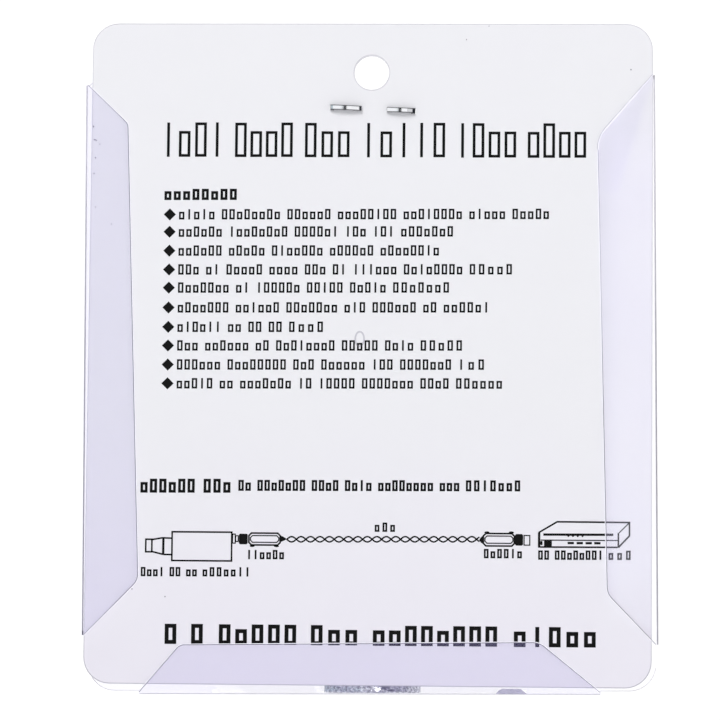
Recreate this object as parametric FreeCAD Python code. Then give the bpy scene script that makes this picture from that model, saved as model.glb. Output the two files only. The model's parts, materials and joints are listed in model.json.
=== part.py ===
import FreeCAD, Part
import math
import os

# A retail slide-blister pack for a small video balun, in millimetres.
# The origin is the centre of the hang hole, on the back face of the card.
# +X is to the right as the back of the card is seen, +Y goes to the front of the pack, +Z is up.

Vec = FreeCAD.Vector
X_AXIS = Vec(1, 0, 0)
Y_AXIS = Vec(0, 1, 0)
Z_AXIS = Vec(0, 0, 1)
HOME = Vec(0, 0, 0)

# How far a cutting tool runs past the face it cuts, and how near two places count as the same
overrun = 1.0
same_place = 1e-4

# Backing card
card_width = 84.9
card_height = 100.0
card_thickness = 0.4
card_corner_radius = 4.0
hang_hole_radius = 2.62
hang_hole_drop = 7.5

# Plastic sheet, and how it lies about the card
sheet_thickness = 0.25
card_play = 0.06
channel_width = 86.3
channel_shift = -0.34
fold_gap = 1.33
sheet_top = 6.6
sheet_top_inset = 1.5
sheet_top_radius = 4.5
sheet_bottom_radius = 4.0
raw_edge_inset = 0.6
blister_skew = 0.45

# Flanges, each as start and end along its fold, reach there, run of the slanted cut and corner radius
left_fold_span = (-85.0, -1.6)
left_flange_reach = (8.64, 6.66)
left_flange_cut = (8.2, 6.0)
left_flange_radius = (2.4, 1.5)
right_fold_span = (-86.4, -0.6)
right_flange_reach = (7.75, 8.86)
right_flange_cut = (7.6, 9.45)
right_flange_radius = (2.6, 5.0)
bottom_fold_span = (-34.8, 34.2)
bottom_flange_reach = (7.58, 7.97)
bottom_flange_cut = (6.1, 9.1)
bottom_flange_radius = (1.6, 3.0)

# Bubble
bubble_mouth_half_width = 23.7
bubble_shoulder_half_width = 20.0
bubble_height = 72.0
bubble_shoulder_depth = 9.0
bubble_top_slope_run = 3.0
bubble_edge_radius = 2.4
pod_edge_radius = 1.6
pod_side_clearance = 1.6
pod_draft_run = 0.9
pod_top_clearance = 1.6
pod_face_clearance = 1.2
goods_clearance = 0.3
plug_seat_gap = 0.05
goods_offset = 0.2

# Staple
staple_width = 12.9
staple_drop = 5.6
staple_shift = 0.2
staple_tilt = 2.4
wire_width = 0.7
wire_thickness = 0.5
left_leg_length = 4.75
right_leg_length = 4.3
leg_bow = 0.25
leg_bow_radius = 8.0
staple_gap = 0.02
staple_hole_clearance = 0.1

# Plug
sleeve_radius = 7.3
sleeve_length = 13.2
sleeve_bore_radius = 4.95
sleeve_rim_width = 3.6
sleeve_rear_band = 1.0
sleeve_lip_thickness = 1.3
sleeve_chamfer = 0.2
grip_groove_count = 24
grip_groove_width = 0.7
grip_groove_depth = 0.35
bayonet_slot_width = 2.2
bayonet_turn = 80.0
bayonet_entry_rise = 2.4
bayonet_rise = 5.4
bayonet_key_depth = 0.75
bayonet_rest_radius = 1.21
bayonet_angles = (60, 240)
contact_radius = 4.05
contact_wall = 0.5
contact_recess = 1.6
contact_slot_width = 0.5
contact_slot_length = 5.0
contact_slot_count = 4
shoulder_radius = 4.8
shoulder_thickness = 1.2
shoulder_rise = 8.6
neck_radius = 4.2
running_clearance = 0.1
gasket_thickness = 0.7
spring_thickness = 0.25
spring_wave = 0.35
spring_crest_count = 3
spring_crest_half_width = 0.9
retainer_thickness = 0.5
retainer_radius = 5.5
nut_radius = 6.1
nut_length = 4.2
nut_chamfer = 0.4
nut_knurl_count = 30
nut_knurl_width = 0.5
nut_knurl_depth = 0.22
collar_radius = 5.6
collar_thickness = 1.5
collar_rise = 20.6
body_tail = 1.2
insulator_radius = 3.1
insulator_rise = 5.6
pin_radius = 0.68
pin_rear_radius = 0.9
pin_tip_rise = 3.4
pin_tip_length = 0.9
pin_tip_radius = 0.2
pin_lug_length = 2.2
fit_clearance = 0.05

# Housing
housing_rise = 18.6
housing_length = 42.0
housing_width = 15.2
housing_depth = 13.4
housing_wall = 1.2
housing_corner_radius = 2.2
housing_foot_chamfer = 0.6
collar_wall = 1.4
grip_count = 7
grip_first_rise = 5.0
grip_width = 1.0
grip_pitch = 2.2
grip_depth = 0.4
grip_inset = 2.6
panel_width = 9.6
panel_length = 17.0
panel_depth = 0.4
panel_corner_radius = 1.2
panel_drop = 1.0
board_thickness = 1.2
board_clearance = 0.2
board_top_drop = 0.6
board_notch_clearance = 0.3
boss_radius = 2.0
boss_rises = (10.5, 30.0)
screw_head_radius = 1.7
screw_head_height = 1.1
screw_shank_radius = 0.9
screw_length = 8.0
screw_tip_length = 0.6
screw_tip_radius = 0.3
screw_recess_width = 0.45
screw_recess_depth = 0.5
screw_recess_half_length = 1.1

# Parts on the board
toroid_rise = 18.6
toroid_outer_radius = 4.1
toroid_inner_radius = 2.1
toroid_height = 3.2
toroid_chamfer = 0.4
winding_turns = 14
winding_wire = 0.4
winding_gap = 0.05
suppressor_rise = 25.4
suppressor_radius = 1.1
suppressor_length = 5.0
suppressor_chamfer = 0.25
lead_radius = 0.3
lead_reach = 1.0

# Terminal block
block_width = 11.0
block_depth = 9.0
block_height = 9.6
block_stand_out = 5.0
pole_pitch = 5.08
pole_opening = 3.2
pole_depth = 5.5
pole_y = 0.4
clamp_wall = 0.4
clamp_drop = 1.0
terminal_screw_radius = 1.3
terminal_screw_height = 3.3
terminal_screw_sink = 0.2
terminal_slot_width = 0.4
terminal_slot_depth = 0.5
terminal_pin_width = 0.8
terminal_pin_reach = 1.2
terminal_pin_y = 1.35

# Places worked out from the sizes above
fold_drop = card_height - hang_hole_drop + fold_gap
front_back_face = card_thickness + card_play
front_face = front_back_face + sheet_thickness
flange_front_face = -card_play
flange_back_face = flange_front_face - sheet_thickness
fold_outer_radius = (front_face - flange_back_face) / 2
fold_inner_radius = fold_outer_radius - sheet_thickness
fold_axis_y = (front_face + flange_back_face) / 2
left_axis_x = channel_shift - channel_width / 2 + fold_outer_radius
right_axis_x = channel_shift + channel_width / 2 - fold_outer_radius
bottom_axis_z = -fold_drop + fold_outer_radius
plug_x = channel_shift + goods_offset
plug_y = card_thickness + goods_clearance + sleeve_radius
plug_z = -fold_drop + sheet_thickness + plug_seat_gap
pod_depth = plug_y + sleeve_radius + pod_face_clearance + sheet_thickness
housing_top = housing_rise + housing_length
cavity_half_width = housing_width / 2 - housing_wall
cavity_half_depth = housing_depth / 2 - housing_wall
lip_rise = sleeve_length - sleeve_lip_thickness
spring_rise = shoulder_rise + shoulder_thickness
retainer_rise = sleeve_length + running_clearance
nut_rise = retainer_rise + retainer_thickness
goods_height = housing_top + block_stand_out
body_top = collar_rise + collar_thickness + body_tail
pin_top = body_top + pin_lug_length
room_floor = collar_rise + collar_thickness + collar_wall
board_bottom = room_floor + board_clearance
board_top = housing_top - board_top_drop
board_face = board_thickness / 2 + fit_clearance
toroid_base = board_thickness / 2 + winding_wire + winding_gap * 2
toroid_z = housing_rise + toroid_rise
block_base = goods_height - block_height
block_screw_z = goods_height - pole_depth / 2
pole_floor = goods_height - pole_depth
terminal_foot_z = block_base - terminal_pin_reach


def save(node, shape):
    shape.exportStep(os.path.join("parts", node + ".step"))
    print(node, len(shape.Solids), "solids", round(shape.Volume, 2), "mm3", "valid", shape.isValid())


def rounded_wire(corners):
    # corners holds (point, radius) in order round a closed flat outline
    count = len(corners)
    ends = []
    for i in range(count):
        point, radius = corners[i]
        before = (corners[i - 1][0] - point).normalize()
        after = (corners[(i + 1) % count][0] - point).normalize()
        if radius == 0:
            ends.append((point, None, point))
            continue
        half = before.getAngle(after) / 2
        reach = radius / math.tan(half)
        middle_way = (before + after).normalize()
        middle = point + middle_way * (radius / math.sin(half) - radius)
        ends.append((point + before * reach, middle, point + after * reach))
    edges = []
    for i in range(count):
        start, middle, finish = ends[i]
        if middle is not None:
            edges.append(Part.Arc(start, middle, finish).toShape())
        following = ends[(i + 1) % count][0]
        if finish.distanceToPoint(following) > same_place:
            edges.append(Part.LineSegment(finish, following).toShape())
    return Part.Wire(edges)


def plate(corners, thickness_vector):
    return Part.Face(rounded_wire(corners)).extrude(thickness_vector)


def rounded_rectangle(x_half, z_low, z_high, y, radii, x_middle):
    lower, upper = radii
    return [
        (Vec(x_middle - x_half, y, z_low), lower),
        (Vec(x_middle + x_half, y, z_low), lower),
        (Vec(x_middle + x_half, y, z_high), upper),
        (Vec(x_middle - x_half, y, z_high), upper),
    ]


def box(x_low, x_high, y_low, y_high, z_low, z_high):
    return Part.makeBox(x_high - x_low, y_high - y_low, z_high - z_low, Vec(x_low, y_low, z_low))


def cylinder(radius, z_low, z_high, x=0.0, y=0.0):
    return Part.makeCylinder(radius, z_high - z_low, Vec(x, y, z_low))


def y_cylinder(radius, y_low, y_high, x, z):
    return Part.makeCylinder(radius, y_high - y_low, Vec(x, y_low, z), Y_AXIS)


def ring(outer, inner, z_low, z_high):
    return cylinder(outer, z_low, z_high).cut(cylinder(inner, z_low, z_high))


def turned(profile):
    # profile holds (radius, height) round a closed half section
    points = [Vec(r, 0, z) for r, z in profile]
    return Part.Face(Part.makePolygon(points + points[:1])).revolve(HOME, Z_AXIS, 360)


def skewed(shape):
    return shape.rotated(HOME, Y_AXIS, -blister_skew)


def placed(shape):
    return skewed(shape.translated(Vec(plug_x, plug_y, plug_z)))


def staple_frame(shape):
    moved = shape.rotated(HOME, Y_AXIS, staple_tilt)
    return moved.translated(Vec(staple_shift, 0, -staple_drop))


def staple_holes():
    half = staple_width / 2
    spare = staple_hole_clearance
    holes = []
    for outer_x in (-half - spare, half - wire_thickness - spare):
        hole = box(outer_x, outer_x + wire_thickness + 2 * spare, -overrun, front_face + overrun,
                   -wire_width / 2 - spare, wire_width / 2 + spare)
        holes.append(staple_frame(hole))
    return holes


def make_card():
    half = card_width / 2
    top = hang_hole_drop
    bottom = hang_hole_drop - card_height
    corners = rounded_rectangle(half, bottom, top, 0, (card_corner_radius, card_corner_radius), 0)
    card = plate(corners, Vec(0, card_thickness, 0))
    hole = y_cylinder(hang_hole_radius, -overrun, card_thickness + overrun, 0, 0)
    return card.cut([hole] + staple_holes())


def sheet_outline(y):
    half = card_width / 2 - sheet_top_inset
    left_low, left_high = left_fold_span
    right_low, right_high = right_fold_span
    bottom_left, bottom_right = bottom_fold_span
    raw_side = card_width / 2
    raw_bottom = -fold_drop + raw_edge_inset
    left_relief = left_high + (-half - left_axis_x)
    right_relief = right_high + (right_axis_x - half)
    corners = [
        ((-half, sheet_top), sheet_top_radius),
        ((half, sheet_top), sheet_top_radius),
        ((half, right_relief), 0),
        ((right_axis_x, right_high), 0),
        ((right_axis_x, right_low), 0),
        ((raw_side, right_low), 0),
        ((raw_side, raw_bottom), sheet_bottom_radius),
        ((bottom_right, raw_bottom), 0),
        ((bottom_right, bottom_axis_z), 0),
        ((bottom_left, bottom_axis_z), 0),
        ((bottom_left, raw_bottom), 0),
        ((-raw_side, raw_bottom), sheet_bottom_radius),
        ((-raw_side, left_low), 0),
        ((left_axis_x, left_low), 0),
        ((left_axis_x, left_high), 0),
        ((-half, left_relief), 0),
    ]
    return [(Vec(x, y, z), radius) for (x, z), radius in corners]


def fold(span, origin, along, outward):
    # A half tube from the front sheet round the card's edge to the flange behind it
    start, finish = span
    centre = origin + along * start
    arcs = []
    for radius in (fold_outer_radius, fold_inner_radius):
        front = centre + Y_AXIS * radius
        back = centre - Y_AXIS * radius
        arcs.append((front, centre + outward * radius, back))
    outer, inner = arcs
    section = Part.Wire([
        Part.Arc(*outer).toShape(),
        Part.LineSegment(outer[2], inner[2]).toShape(),
        Part.Arc(*inner).toShape(),
        Part.LineSegment(inner[0], outer[0]).toShape(),
    ])
    return Part.Face(section).extrude(along * (finish - start))


def flange(span, reach, cut, radius, origin, along, inward):
    start, finish = span
    root = origin + Y_AXIS * (flange_back_face - fold_axis_y)
    near = reach[0] - fold_outer_radius
    far = reach[1] - fold_outer_radius
    corners = [
        (root + along * start, 0),
        (root + along * (start + cut[0]) + inward * near, radius[0]),
        (root + along * (finish - cut[1]) + inward * far, radius[1]),
        (root + along * finish, 0),
    ]
    return plate(corners, Y_AXIS * sheet_thickness)


def folded_edges():
    left = Vec(left_axis_x, fold_axis_y, 0)
    right = Vec(right_axis_x, fold_axis_y, 0)
    bottom = Vec(0, fold_axis_y, bottom_axis_z)
    sides = [
        (left_fold_span, left_flange_reach, left_flange_cut, left_flange_radius, left, Z_AXIS, -X_AXIS),
        (right_fold_span, right_flange_reach, right_flange_cut, right_flange_radius, right, Z_AXIS, X_AXIS),
        (bottom_fold_span, bottom_flange_reach, bottom_flange_cut, bottom_flange_radius,
         bottom, X_AXIS, -Z_AXIS),
    ]
    pieces = []
    for span, reach, cut, radius, origin, along, outward in sides:
        pieces.append(fold(span, origin, along, outward))
        pieces.append(flange(span, reach, cut, radius, origin, along, -outward))
    return pieces


def rounded_wedge(base_half, face_half, low, base_high, face_high, y_face, radius, x_middle):
    # A block that tapers toward its face, upright along its lower side, with rounded corners and edges
    wedge = Part.makeWedge(
        x_middle - base_half, front_back_face, low, low, x_middle - face_half,
        x_middle + base_half, y_face, base_high, face_high, x_middle + face_half,
    )
    return wedge.makeFillet(radius, [e for e in wedge.Edges if e.BoundBox.YMax > y_face - same_place])


def bubble_form(inset):
    # The bubble's outer form, or with an inset of one wall the space inside it
    low = -fold_drop + inset
    high = -fold_drop + bubble_height - inset
    tray = rounded_wedge(
        bubble_mouth_half_width - inset, bubble_shoulder_half_width - inset, low, high,
        high - bubble_top_slope_run, bubble_shoulder_depth - inset, bubble_edge_radius - inset, channel_shift,
    )
    pod_half = housing_width / 2 + pod_side_clearance + sheet_thickness - inset
    pod_high = plug_z + goods_height + pod_top_clearance + sheet_thickness - inset
    pod = rounded_wedge(
        pod_half, pod_half - pod_draft_run, low, pod_high,
        pod_high - pod_draft_run, pod_depth - inset, pod_edge_radius - inset, plug_x,
    )
    return tray.fuse(pod)


def make_blister():
    front = plate(sheet_outline(front_back_face), Vec(0, sheet_thickness, 0))
    half = bubble_mouth_half_width
    sill_top = -fold_drop + sheet_thickness
    sill = box(channel_shift - half, channel_shift + half, fold_axis_y, front_face, -fold_drop, sill_top)
    half = bubble_mouth_half_width - sheet_thickness
    sill_space = box(channel_shift - half, channel_shift + half, fold_axis_y, front_face,
                     sill_top, bottom_axis_z + sheet_thickness)
    outside = bubble_form(0)
    inside = bubble_form(sheet_thickness)
    solid = front.fuse(folded_edges())
    solid = solid.fuse([outside, sill])
    solid = solid.cut([inside, sill_space])
    blister = skewed(solid.removeSplitter())
    hole = y_cylinder(hang_hole_radius, -overrun, front_face + overrun, 0, 0)
    return blister.cut([hole] + staple_holes())


def staple_leg(side, length):
    # One clinched leg, from its bend to its tip, bowed away from the card as the stapler leaves it
    half = staple_width / 2
    back = -staple_gap - wire_thickness
    middle = side * (half - length / 2)
    tip = side * (half - length)
    low = -wire_width / 2
    return [
        (Vec(side * half, back, low), wire_thickness),
        (Vec(middle, back - leg_bow, low), leg_bow_radius),
        (Vec(tip, back, low), 0),
        (Vec(tip, -staple_gap, low), 0),
        (Vec(middle, -staple_gap - leg_bow, low), leg_bow_radius),
        (Vec(side * (half - wire_thickness), -staple_gap, low), 0),
        (Vec(side * (half - wire_thickness), front_face + staple_gap, low), 0),
    ]


def make_staple():
    half = staple_width / 2
    crown_front = front_face + staple_gap + wire_thickness
    low = -wire_width / 2
    crown = [(Vec(side * half, crown_front, low), wire_thickness) for side in (-1, 1)]
    left = staple_leg(-1, left_leg_length)
    wire = plate(crown + staple_leg(1, right_leg_length) + left[::-1], Vec(0, 0, wire_width))
    return staple_frame(wire)


def bayonet_cut(angle):
    # An inner keyway from the rim, a slanting slot through the wall and the round rest at its end
    radius = (sleeve_bore_radius + sleeve_radius) / 2
    half = bayonet_slot_width / 2
    key_reach = sleeve_bore_radius + bayonet_key_depth
    key = box(0, key_reach, -half, half, -overrun, bayonet_entry_rise + half)
    turn = math.radians(bayonet_turn)
    pitch = bayonet_rise * 2 * math.pi / turn
    path = Part.makeHelix(pitch, bayonet_rise, radius)
    near = sleeve_bore_radius - overrun
    far = sleeve_radius + overrun
    profile = Part.makePolygon([
        Vec(near, 0, -half),
        Vec(far, 0, -half),
        Vec(far, 0, half),
        Vec(near, 0, half),
        Vec(near, 0, -half),
    ])
    slot = Part.Wire(path).makePipeShell([profile], True, True)
    slot.translate(Vec(0, 0, bayonet_entry_rise))
    start = Part.makeCylinder(half, far, Vec(0, 0, bayonet_entry_rise), X_AXIS)
    rest_way = Vec(math.cos(turn), math.sin(turn), 0)
    rest_place = Vec(0, 0, bayonet_entry_rise + bayonet_rise)
    rest = Part.makeCylinder(bayonet_rest_radius, far, rest_place, rest_way)
    cuts = [key, slot, start, rest]
    return [cut.rotated(HOME, Z_AXIS, angle) for cut in cuts]


def make_sleeve():
    chamfer = sleeve_chamfer
    lip_radius = neck_radius + running_clearance
    sleeve = turned([
        (sleeve_bore_radius, 0),
        (sleeve_radius - chamfer, 0),
        (sleeve_radius, chamfer),
        (sleeve_radius, sleeve_length - chamfer),
        (sleeve_radius - chamfer, sleeve_length),
        (lip_radius, sleeve_length),
        (lip_radius, lip_rise),
        (sleeve_bore_radius, lip_rise),
    ])
    grooves = []
    half = grip_groove_width / 2
    groove_top = sleeve_length - sleeve_rear_band
    for i in range(grip_groove_count):
        groove = box(sleeve_radius - grip_groove_depth, sleeve_radius + overrun, -half, half,
                     sleeve_rim_width, groove_top)
        grooves.append(groove.rotated(HOME, Z_AXIS, 360.0 * i / grip_groove_count))
    slots = []
    for angle in bayonet_angles:
        slots += bayonet_cut(angle)
    return sleeve.cut(grooves).cut(slots)


def make_plug_body():
    bore = insulator_radius + fit_clearance
    mouth_bore = contact_radius - contact_wall
    body = turned([
        (mouth_bore, contact_recess),
        (contact_radius, contact_recess),
        (contact_radius, shoulder_rise),
        (shoulder_radius, shoulder_rise),
        (shoulder_radius, spring_rise),
        (neck_radius, spring_rise),
        (neck_radius, collar_rise),
        (collar_radius, collar_rise),
        (collar_radius, collar_rise + collar_thickness),
        (neck_radius, collar_rise + collar_thickness),
        (neck_radius, body_top),
        (bore, body_top),
        (bore, insulator_rise),
        (mouth_bore, insulator_rise),
    ])
    slots = []
    half = contact_slot_width / 2
    for i in range(contact_slot_count):
        slot = box(insulator_radius / 2, contact_radius + overrun, -half, half,
                   contact_recess - overrun, contact_recess + contact_slot_length)
        slots.append(slot.rotated(HOME, Z_AXIS, 360.0 * (i + 0.5) / contact_slot_count))
    return body.cut(slots)


def make_gasket():
    inner = contact_radius + fit_clearance
    return ring(shoulder_radius - fit_clearance, inner, shoulder_rise - gasket_thickness, shoulder_rise)


def make_spring_washer():
    # A flat ring with low crests that press on the sleeve's lip
    inner = neck_radius + running_clearance
    outer = sleeve_bore_radius - running_clearance
    flat = ring(outer, inner, spring_rise, spring_rise + spring_thickness)
    crests = []
    half = spring_crest_half_width
    for i in range(spring_crest_count):
        crest = box(0, outer + overrun, -half, half, 0, spring_wave)
        crest = crest.common(ring(outer, inner, 0, spring_wave))
        crest.translate(Vec(0, 0, spring_rise + spring_thickness))
        crests.append(crest.rotated(HOME, Z_AXIS, 360.0 * i / spring_crest_count))
    return flat.fuse(crests).removeSplitter()


def make_retainer():
    return ring(retainer_radius, neck_radius + fit_clearance, retainer_rise, nut_rise)


def make_nut():
    inner = neck_radius + fit_clearance
    top = nut_rise + nut_length
    nut = turned([
        (inner, nut_rise),
        (nut_radius - nut_chamfer, nut_rise),
        (nut_radius, nut_rise + nut_chamfer),
        (nut_radius, top - nut_chamfer),
        (nut_radius - nut_chamfer, top),
        (inner, top),
    ])
    cuts = []
    half = nut_knurl_width / 2
    for i in range(nut_knurl_count):
        groove = box(nut_radius - nut_knurl_depth, nut_radius + overrun, -half, half,
                     nut_rise + nut_chamfer, top - nut_chamfer)
        cuts.append(groove.rotated(HOME, Z_AXIS, 360.0 * i / nut_knurl_count))
    return nut.cut(cuts)


def make_insulator():
    inner = pin_rear_radius + fit_clearance
    return ring(insulator_radius, inner, insulator_rise + fit_clearance, body_top)


def make_centre_pin():
    return turned([
        (0, pin_tip_rise),
        (pin_tip_radius, pin_tip_rise),
        (pin_radius, pin_tip_rise + pin_tip_length),
        (pin_radius, insulator_rise),
        (pin_rear_radius, insulator_rise),
        (pin_rear_radius, pin_top),
        (0, pin_top),
    ])


def housing_block():
    half_w = housing_width / 2
    half_d = housing_depth / 2
    block = box(-half_w, half_w, -half_d, half_d, housing_rise, housing_top)
    long_edges = [e for e in block.Edges if e.BoundBox.ZLength > housing_length / 2]
    block = block.makeFillet(housing_corner_radius, long_edges)
    bottom_edges = [e for e in block.Edges if abs(e.BoundBox.ZMax - housing_rise) < same_place]
    return block.makeChamfer(housing_foot_chamfer, bottom_edges)


def grip_grooves():
    grooves = []
    half_w = housing_width / 2
    half_d = housing_depth / 2 - grip_inset
    for i in range(grip_count):
        low = housing_rise + grip_first_rise + i * grip_pitch
        high = low + grip_width
        grooves.append(box(-half_w - overrun, -half_w + grip_depth, -half_d, half_d, low, high))
        grooves.append(box(half_w - grip_depth, half_w + overrun, -half_d, half_d, low, high))
    return grooves


def housing_cavity():
    room = box(-cavity_half_width, cavity_half_width, -cavity_half_depth, cavity_half_depth,
               room_floor, housing_top + overrun)
    collar_room = cylinder(collar_radius + fit_clearance, collar_rise - fit_clearance,
                           collar_rise + collar_thickness + fit_clearance)
    neck_room = cylinder(neck_radius + fit_clearance, housing_rise - overrun, housing_top)
    return [room, collar_room, neck_room]


def boss_places():
    return [(0, housing_rise + rise) for rise in boss_rises]


def make_housing_half(front):
    half_d = housing_depth / 2
    side = 1 if front else -1
    shell = housing_block().cut(housing_cavity()).cut(grip_grooves())
    y_low, y_high = (0, half_d) if front else (-half_d, 0)
    shell = shell.common(box(-housing_width, housing_width, y_low, y_high,
                             housing_rise - overrun, housing_top + overrun))
    shank_hole = screw_shank_radius + fit_clearance
    head_hole = screw_head_radius + running_clearance
    hole_cuts = []
    for x, z in boss_places():
        inner_end = side * board_face
        outer_end = side * (cavity_half_depth + housing_wall / 2)
        y_low, y_high = sorted((inner_end, outer_end))
        shell = shell.fuse(y_cylinder(boss_radius, y_low, y_high, x, z))
        if front:
            depth = screw_length - half_d + screw_head_height + screw_tip_length
            hole_cuts.append(y_cylinder(shank_hole, 0, depth, x, z))
        else:
            head_end = -half_d + screw_head_height + fit_clearance
            hole_cuts.append(y_cylinder(shank_hole, -half_d - overrun, 0, x, z))
            hole_cuts.append(y_cylinder(head_hole, -half_d - overrun, head_end, x, z))
    shell = shell.cut(hole_cuts)
    if front:
        middle = housing_rise + housing_length / 2 - panel_drop
        panel = rounded_rectangle(panel_width / 2, middle - panel_length / 2, middle + panel_length / 2,
                                  half_d - panel_depth, (panel_corner_radius, panel_corner_radius), 0)
        shell = shell.cut(plate(panel, Vec(0, panel_depth + overrun, 0)))
    return shell.removeSplitter()


def make_housing_screws():
    base = -housing_depth / 2
    neck = base + screw_head_height
    tip_base = base + screw_length - screw_tip_length
    groove_end = base + screw_recess_depth
    half = screw_recess_width / 2
    reach = screw_recess_half_length
    screws = []
    for x, z in boss_places():
        head = y_cylinder(screw_head_radius, base, neck, x, z)
        shank = y_cylinder(screw_shank_radius, neck, tip_base, x, z)
        tip_place = Vec(x, tip_base, z)
        tip = Part.makeCone(screw_shank_radius, screw_tip_radius, screw_tip_length, tip_place, Y_AXIS)
        recess = [
            box(x - half, x + half, base - overrun, groove_end, z - reach, z + reach),
            box(x - reach, x + reach, base - overrun, groove_end, z - half, z + half),
        ]
        screws.append(head.fuse([shank, tip]).cut(recess).removeSplitter())
    return Part.makeCompound(screws)


def pole_centres():
    return [-pole_pitch / 2, pole_pitch / 2]


def make_board():
    half_w = cavity_half_width - board_clearance
    half_t = board_thickness / 2
    board = box(-half_w, half_w, -half_t, half_t, board_bottom, board_top)
    notch_half = pin_rear_radius + board_notch_clearance
    notch_top = pin_top + board_notch_clearance
    notch = box(-notch_half, notch_half, -overrun, overrun, board_bottom - overrun, notch_top)
    holes = []
    for x, z in boss_places():
        holes.append(y_cylinder(screw_shank_radius + running_clearance, -overrun, overrun, x, z))
    pin_hole = terminal_pin_width / math.sqrt(2) + fit_clearance
    pin_z = terminal_foot_z + terminal_pin_width / 2
    for centre in pole_centres():
        holes.append(y_cylinder(pin_hole, -overrun, overrun, centre, pin_z))
    return board.cut([notch] + holes)


def make_toroid_core():
    cut = toroid_chamfer
    core = turned([
        (toroid_inner_radius + cut, 0),
        (toroid_outer_radius - cut, 0),
        (toroid_outer_radius, cut),
        (toroid_outer_radius, toroid_height - cut),
        (toroid_outer_radius - cut, toroid_height),
        (toroid_inner_radius + cut, toroid_height),
        (toroid_inner_radius, toroid_height - cut),
        (toroid_inner_radius, cut),
    ])
    return core.rotated(HOME, X_AXIS, -90).translated(Vec(0, toroid_base, toroid_z))


def make_winding():
    gap = winding_gap
    wire = winding_wire
    out = gap + wire
    top = toroid_base + toroid_height
    loop = box(toroid_inner_radius - out, toroid_outer_radius + out, toroid_base - out, top + out,
               -wire / 2, wire / 2)
    hollow = box(toroid_inner_radius - gap, toroid_outer_radius + gap, toroid_base - gap, top + gap,
                 -wire, wire)
    loop = loop.cut(hollow)
    loop.translate(Vec(0, 0, toroid_z))
    turns = []
    for i in range(winding_turns):
        turns.append(loop.rotated(Vec(0, 0, toroid_z), Y_AXIS, 360.0 * i / winding_turns))
    return Part.makeCompound(turns)


def make_suppressor():
    z = housing_rise + suppressor_rise
    y = board_face + suppressor_radius
    half = suppressor_length / 2
    body = Part.makeCylinder(suppressor_radius, suppressor_length, Vec(-half, y, z), X_AXIS)
    body = body.makeChamfer(suppressor_chamfer, [e for e in body.Edges if e.Closed])
    reach = half + lead_reach
    lead = Part.makeCylinder(lead_radius, 2 * reach, Vec(-reach, y, z), X_AXIS)
    feet = [y_cylinder(lead_radius, board_face, y, x, z) for x in (-reach, reach)]
    return body.fuse([lead] + feet).removeSplitter()


def make_terminal_block():
    half_w = block_width / 2
    half_d = block_depth / 2
    body = box(-half_w, half_w, board_face, half_d, block_base, goods_height)
    body = body.fuse(box(-half_w, half_w, -half_d, half_d, board_top + fit_clearance, goods_height))
    half = pole_opening / 2
    pin_half = terminal_pin_width / 2 + fit_clearance
    screw_hole = terminal_screw_radius + running_clearance
    cuts = []
    for centre in pole_centres():
        cuts.append(box(centre - half, centre + half, pole_y - half, pole_y + half,
                        pole_floor, goods_height + overrun))
        cuts.append(y_cylinder(screw_hole, pole_y, half_d + overrun, centre, block_screw_z))
        cuts.append(box(centre - pin_half, centre + pin_half, terminal_pin_y - pin_half,
                        terminal_pin_y + pin_half, block_base - overrun, pole_floor + overrun))
    return body.cut(cuts).removeSplitter()


def make_terminal_clamps():
    low = pole_floor + fit_clearance
    half = pole_opening / 2 - fit_clearance
    inner = half - clamp_wall
    screw_hole = terminal_screw_radius + fit_clearance
    clamps = []
    for centre in pole_centres():
        cage = box(centre - half, centre + half, pole_y - half, pole_y + half, low, goods_height - clamp_drop)
        hollow = box(centre - inner, centre + inner, pole_y - inner, pole_y + inner,
                     low + clamp_wall, goods_height)
        screw_way = y_cylinder(screw_hole, pole_y, pole_y + half + overrun, centre, block_screw_z)
        clamps.append(cage.cut([hollow, screw_way]))
    return Part.makeCompound(clamps)


def make_terminal_screws():
    top = block_depth / 2 - terminal_screw_sink
    half = terminal_slot_width / 2
    reach = terminal_screw_radius + overrun
    screws = []
    for centre in pole_centres():
        screw = y_cylinder(terminal_screw_radius, top - terminal_screw_height, top, centre, block_screw_z)
        slot = box(centre - reach, centre + reach, top - terminal_slot_depth, top + overrun,
                   block_screw_z - half, block_screw_z + half)
        screws.append(screw.cut(slot))
    return Part.makeCompound(screws)


def make_terminal_pins():
    # A square pin under each pole, turned at its foot to pass through the board
    half = terminal_pin_width / 2
    foot_end = -board_thickness / 2 - terminal_pin_reach
    pins = []
    for centre in pole_centres():
        upright = box(centre - half, centre + half, terminal_pin_y - half, terminal_pin_y + half,
                      terminal_foot_z, pole_floor)
        foot = box(centre - half, centre + half, foot_end, terminal_pin_y - half,
                   terminal_foot_z, terminal_foot_z + terminal_pin_width)
        pins.append(upright.fuse(foot).removeSplitter())
    return Part.makeCompound(pins)


os.makedirs("parts", exist_ok=True)
save("backing_card", make_card())
save("blister", make_blister())
save("staple", make_staple())
goods = {
    "coupling_sleeve": make_sleeve(),
    "plug_body": make_plug_body(),
    "plug_gasket": make_gasket(),
    "spring_washer": make_spring_washer(),
    "sleeve_retainer": make_retainer(),
    "plug_nut": make_nut(),
    "plug_insulator": make_insulator(),
    "centre_pin": make_centre_pin(),
    "housing_front": make_housing_half(True),
    "housing_back": make_housing_half(False),
    "housing_screws": make_housing_screws(),
    "circuit_board": make_board(),
    "toroid_core": make_toroid_core(),
    "toroid_winding": make_winding(),
    "suppressor": make_suppressor(),
    "terminal_block": make_terminal_block(),
    "terminal_clamps": make_terminal_clamps(),
    "terminal_screws": make_terminal_screws(),
    "terminal_pins": make_terminal_pins(),
}
for name, shape in goods.items():
    save(name, placed(shape))
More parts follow.
